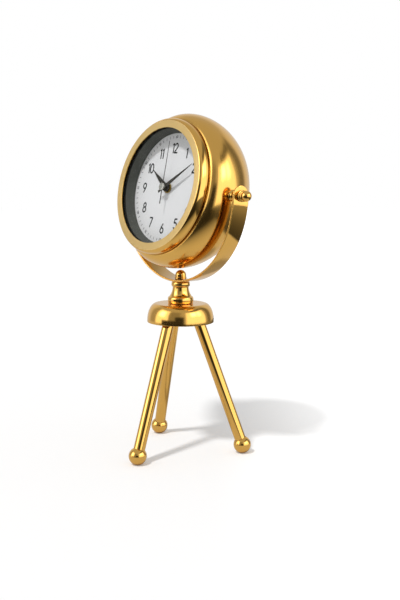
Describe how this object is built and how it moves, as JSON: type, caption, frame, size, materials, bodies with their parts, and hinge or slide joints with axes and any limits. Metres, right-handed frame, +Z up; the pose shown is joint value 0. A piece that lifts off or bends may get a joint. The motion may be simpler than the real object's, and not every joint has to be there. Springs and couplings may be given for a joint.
{
  "type": "table clock",
  "caption": "Drum-shaped table clock that tilts in a U-shaped yoke and swivels on a three-legged stand with ball feet.",
  "frame": {"origin": "on the floor, under the middle of the clock's outline", "axes": "+Z up, the face looks along -Y and leans back, +X towards the pivot beside the 3"},
  "size_m": [0.1822, 0.1138, 0.307],
  "materials": {
    "polished_gold": "polished",
    "satin_gold": "satin",
    "steel": "plain",
    "glass": "polished",
    "dark_ring": "matte",
    "dial_white": "matte",
    "black_plastic": "matte",
    "pale_nylon": "satin",
    "brass": "plain",
    "battery_jacket": "gloss",
    "silver": "nickel plated",
    "copper": "enamelled wire",
    "board_green": "lacquered",
    "hand_charcoal": "satin paint"
  },
  "bodies": {
    "stand": {"foot_front": "polished_gold", "foot_right": "polished_gold", "foot_left": "polished_gold", "foot_stud_front": "steel", "foot_stud_right": "steel", "foot_stud_left": "steel", "leg_front": "polished_gold", "leg_right": "polished_gold", "leg_left": "polished_gold", "leg_stud_front": "steel", "leg_stud_right": "steel", "leg_stud_left": "steel", "leg_plate": "steel", "hub_dome": "polished_gold", "pedestal": "polished_gold", "centre_bolt": "steel", "bolt_washer": "steel", "acorn_nut": "polished_gold"},
    "yoke": {"yoke": "polished_gold"},
    "head": {"case_shell": "polished_gold", "bezel": "satin_gold", "lens": "glass", "dial_surround": "dark_ring", "dial": "dial_white", "rear_cover": "satin_gold", "cover_screw_1": "steel", "cover_screw_2": "steel", "cover_screw_3": "steel", "pivot_spacer_right": "polished_gold", "pivot_spacer_left": "polished_gold", "pivot_nut_right": "steel", "pivot_nut_left": "steel", "movement_case": "black_plastic", "movement_back": "black_plastic", "dial_washer": "black_plastic", "dial_nut": "brass", "battery": "battery_jacket", "battery_contact_plus": "silver", "battery_contact_minus": "silver", "motor_plate": "steel", "motor_coil": "copper", "circuit_board": "board_green"},
    "knob_right": {"pivot_knob_right": "polished_gold"},
    "knob_left": {"pivot_knob_left": "polished_gold"},
    "minute": {"centre_wheel": "brass", "minute_hand": "hand_charcoal"},
    "hour": {"hour_wheel": "pale_nylon", "hour_hand": "hand_charcoal"},
    "second": {"seconds_arbor": "steel", "second_hand": "hand_charcoal"},
    "third": {"third_wheel": "pale_nylon"},
    "motion_work": {"motion_work_wheel": "pale_nylon", "set_knob": "black_plastic"}
  },
  "joints": [
    {"name": "yoke_swivel", "type": "hinge", "parent": "stand", "child": "yoke", "pos_m": [0, 0.00771, 0.1575], "axis": [0, 0, 1], "continuous": true},
    {"name": "head_tilt", "type": "hinge", "parent": "yoke", "child": "head", "pos_m": [0, 0.00771, 0.2357], "axis": [1, 0, 0], "range_deg": [-140, 160]},
    {"name": "knob_right_turn", "type": "hinge", "parent": "head", "child": "knob_right", "pos_m": [0.081, 0.00771, 0.2357], "axis": [1, 0, 0], "range_deg": [0, 360]},
    {"name": "knob_left_turn", "type": "hinge", "parent": "head", "child": "knob_left", "pos_m": [-0.081, 0.00771, 0.2357], "axis": [-1, 0, 0], "range_deg": [0, 360]},
    {"name": "minute_turn", "type": "hinge", "parent": "head", "child": "minute", "pos_m": [0, 0.00821, 0.2381], "axis": [0, 0.9789, -0.2045], "continuous": true},
    {"name": "hour_turn", "type": "hinge", "parent": "head", "child": "hour", "pos_m": [0, 0.00821, 0.2381], "axis": [0, 0.9789, -0.2045], "continuous": true},
    {"name": "second_turn", "type": "hinge", "parent": "head", "child": "second", "pos_m": [0, 0.00821, 0.2381], "axis": [0, 0.9789, -0.2045], "continuous": true},
    {"name": "third_turn", "type": "hinge", "parent": "head", "child": "third", "pos_m": [0.00953, 0.00934, 0.24348], "axis": [0, 0.9789, -0.2045], "continuous": true},
    {"name": "motion_work_turn", "type": "hinge", "parent": "head", "child": "motion_work", "pos_m": [-0.00953, 0.00934, 0.24348], "axis": [0, 0.9789, -0.2045], "continuous": true}
  ],
  "couplings": [
    {"joint": "hour_turn", "follows": "minute_turn", "ratio": 0.083333},
    {"joint": "second_turn", "follows": "minute_turn", "ratio": 60},
    {"joint": "third_turn", "follows": "minute_turn", "ratio": -7.5},
    {"joint": "motion_work_turn", "follows": "minute_turn", "ratio": -0.33333}
  ]
}
